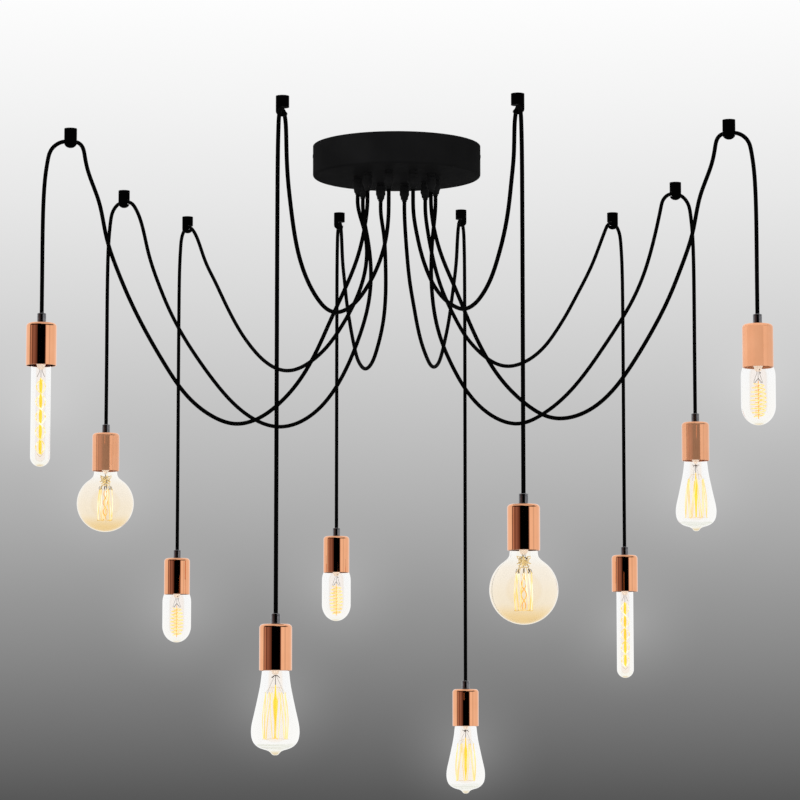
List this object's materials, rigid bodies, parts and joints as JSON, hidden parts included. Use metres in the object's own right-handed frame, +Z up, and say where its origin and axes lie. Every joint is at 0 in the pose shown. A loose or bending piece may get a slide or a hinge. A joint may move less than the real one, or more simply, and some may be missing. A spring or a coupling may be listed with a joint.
{
  "type": "chandelier",
  "caption": "Spider chandelier: round black canopy whose fabric cords swag out to ceiling hooks and drop to copper lampholders with filament lamps.",
  "frame": {"origin": "middle of the mounting bracket's top face, in the plane of the ceiling", "axes": "+Z up, out of the bracket into the ceiling; -Y towards the viewer of the picture and +X to the viewer's right"},
  "size_m": [1.0725, 1.2008, 0.9873],
  "materials": {
    "canopy_black": "satin black powder coat",
    "hook_black": "satin black powder coat",
    "screw_black": "blackened screw",
    "zinc_steel": "zinc plated",
    "white_nylon": "moulded nylon",
    "cord_fabric": "braided black fabric",
    "copper": "polished rose copper plating",
    "clear_glass": "clear blown glass",
    "amber_glass": "amber tinted blown glass"
  },
  "bodies": {
    "root": {"canopy_cover": "canopy_black", "mounting_bracket": "zinc_steel", "terminal_block": "white_nylon", "cover_screw_left": "screw_black", "cover_screw_right": "screw_black", "ceiling_hook_01": "hook_black", "swag_cord_01": "cord_fabric", "ceiling_hook_02": "hook_black", "swag_cord_02": "cord_fabric", "ceiling_hook_03": "hook_black", "swag_cord_03": "cord_fabric", "ceiling_hook_04": "hook_black", "swag_cord_04": "cord_fabric", "ceiling_hook_05": "hook_black", "swag_cord_05": "cord_fabric", "ceiling_hook_06": "hook_black", "swag_cord_06": "cord_fabric", "ceiling_hook_07": "hook_black", "swag_cord_07": "cord_fabric", "ceiling_hook_08": "hook_black", "swag_cord_08": "cord_fabric", "ceiling_hook_09": "hook_black", "swag_cord_09": "cord_fabric", "ceiling_hook_10": "hook_black", "swag_cord_10": "cord_fabric"},
    "pendant_01": {"drop_cord_01": "cord_fabric", "lampholder_01": "copper"},
    "lamp_01": {"lamp_01": "clear_glass"},
    "pendant_02": {"drop_cord_02": "cord_fabric", "lampholder_02": "copper"},
    "lamp_02": {"lamp_02": "amber_glass"},
    "pendant_03": {"drop_cord_03": "cord_fabric", "lampholder_03": "copper"},
    "lamp_03": {"lamp_03": "clear_glass"},
    "pendant_04": {"drop_cord_04": "cord_fabric", "lampholder_04": "copper"},
    "lamp_04": {"lamp_04": "clear_glass"},
    "pendant_05": {"drop_cord_05": "cord_fabric", "lampholder_05": "copper"},
    "lamp_05": {"lamp_05": "clear_glass"},
    "pendant_06": {"drop_cord_06": "cord_fabric", "lampholder_06": "copper"},
    "lamp_06": {"lamp_06": "clear_glass"},
    "pendant_07": {"drop_cord_07": "cord_fabric", "lampholder_07": "copper"},
    "lamp_07": {"lamp_07": "amber_glass"},
    "pendant_08": {"drop_cord_08": "cord_fabric", "lampholder_08": "copper"},
    "lamp_08": {"lamp_08": "clear_glass"},
    "pendant_09": {"drop_cord_09": "cord_fabric", "lampholder_09": "copper"},
    "lamp_09": {"lamp_09": "clear_glass"},
    "pendant_10": {"drop_cord_10": "cord_fabric", "lampholder_10": "copper"},
    "lamp_10": {"lamp_10": "clear_glass"}
  },
  "joints": [
    {"name": "pendant_01_swing", "type": "hinge", "parent": "root", "child": "pendant_01", "pos_m": [-0.4752, -0.14322, -0.019], "axis": [-0.9703, -0.2419, 0], "range_deg": [-8, 8]},
    {"name": "lamp_01_unscrew", "type": "slide", "parent": "pendant_01", "child": "lamp_01", "axis": [0, 0, -1], "range_m": [0, 0.04]},
    {"name": "pendant_02_swing", "type": "hinge", "parent": "root", "child": "pendant_02", "pos_m": [-0.44688, 0.3927, -0.019], "axis": [-0.7314, 0.682, 0], "range_deg": [-8, 8]},
    {"name": "lamp_02_unscrew", "type": "slide", "parent": "pendant_02", "child": "lamp_02", "axis": [0, 0, -1], "range_m": [0, 0.04]},
    {"name": "pendant_03_swing", "type": "hinge", "parent": "root", "child": "pendant_03", "pos_m": [-0.36192, 0.66, -0.019], "axis": [-0.4226, 0.9063, 0], "range_deg": [-8, 8]},
    {"name": "lamp_03_unscrew", "type": "slide", "parent": "pendant_03", "child": "lamp_03", "axis": [0, 0, -1], "range_m": [0, 0.04]},
    {"name": "pendant_04_swing", "type": "hinge", "parent": "root", "child": "pendant_04", "pos_m": [-0.15696, -0.38016, -0.019], "axis": [-0.1219, -0.9925, 0], "range_deg": [-8, 8]},
    {"name": "lamp_04_unscrew", "type": "slide", "parent": "pendant_04", "child": "lamp_04", "axis": [0, 0, -1], "range_m": [0, 0.04]},
    {"name": "pendant_05_swing", "type": "hinge", "parent": "root", "child": "pendant_05", "pos_m": [-0.09888, 0.61776, -0.019], "axis": [-0.1219, 0.9925, 0], "range_deg": [-8, 8]},
    {"name": "lamp_05_unscrew", "type": "slide", "parent": "pendant_05", "child": "lamp_05", "axis": [0, 0, -1], "range_m": [0, 0.04]},
    {"name": "pendant_06_swing", "type": "hinge", "parent": "root", "child": "pendant_06", "pos_m": [0.10896, 0.58806, -0.019], "axis": [0.1736, 0.9848, 0], "range_deg": [-8, 8]},
    {"name": "lamp_06_unscrew", "type": "slide", "parent": "pendant_06", "child": "lamp_06", "axis": [0, 0, -1], "range_m": [0, 0.04]},
    {"name": "pendant_07_swing", "type": "hinge", "parent": "root", "child": "pendant_07", "pos_m": [0.16656, -0.396, -0.019], "axis": [0.1045, -0.9945, 0], "range_deg": [-8, 8]},
    {"name": "lamp_07_unscrew", "type": "slide", "parent": "pendant_07", "child": "lamp_07", "axis": [0, 0, -1], "range_m": [0, 0.04]},
    {"name": "pendant_08_swing", "type": "hinge", "parent": "root", "child": "pendant_08", "pos_m": [0.36912, 0.61776, -0.019], "axis": [0.4848, 0.8746, 0], "range_deg": [-8, 8]},
    {"name": "lamp_08_unscrew", "type": "slide", "parent": "pendant_08", "child": "lamp_08", "axis": [0, 0, -1], "range_m": [0, 0.04]},
    {"name": "pendant_09_swing", "type": "hinge", "parent": "root", "child": "pendant_09", "pos_m": [0.4488, 0.31482, -0.019], "axis": [0.788, 0.6157, 0], "range_deg": [-8, 8]},
    {"name": "lamp_09_unscrew", "type": "slide", "parent": "pendant_09", "child": "lamp_09", "axis": [0, 0, -1], "range_m": [0, 0.04]},
    {"name": "pendant_10_swing", "type": "hinge", "parent": "root", "child": "pendant_10", "pos_m": [0.47712, -0.20922, -0.019], "axis": [0.9205, -0.3907, 0], "range_deg": [-8, 8]},
    {"name": "lamp_10_unscrew", "type": "slide", "parent": "pendant_10", "child": "lamp_10", "axis": [0, 0, -1], "range_m": [0, 0.04]}
  ]
}
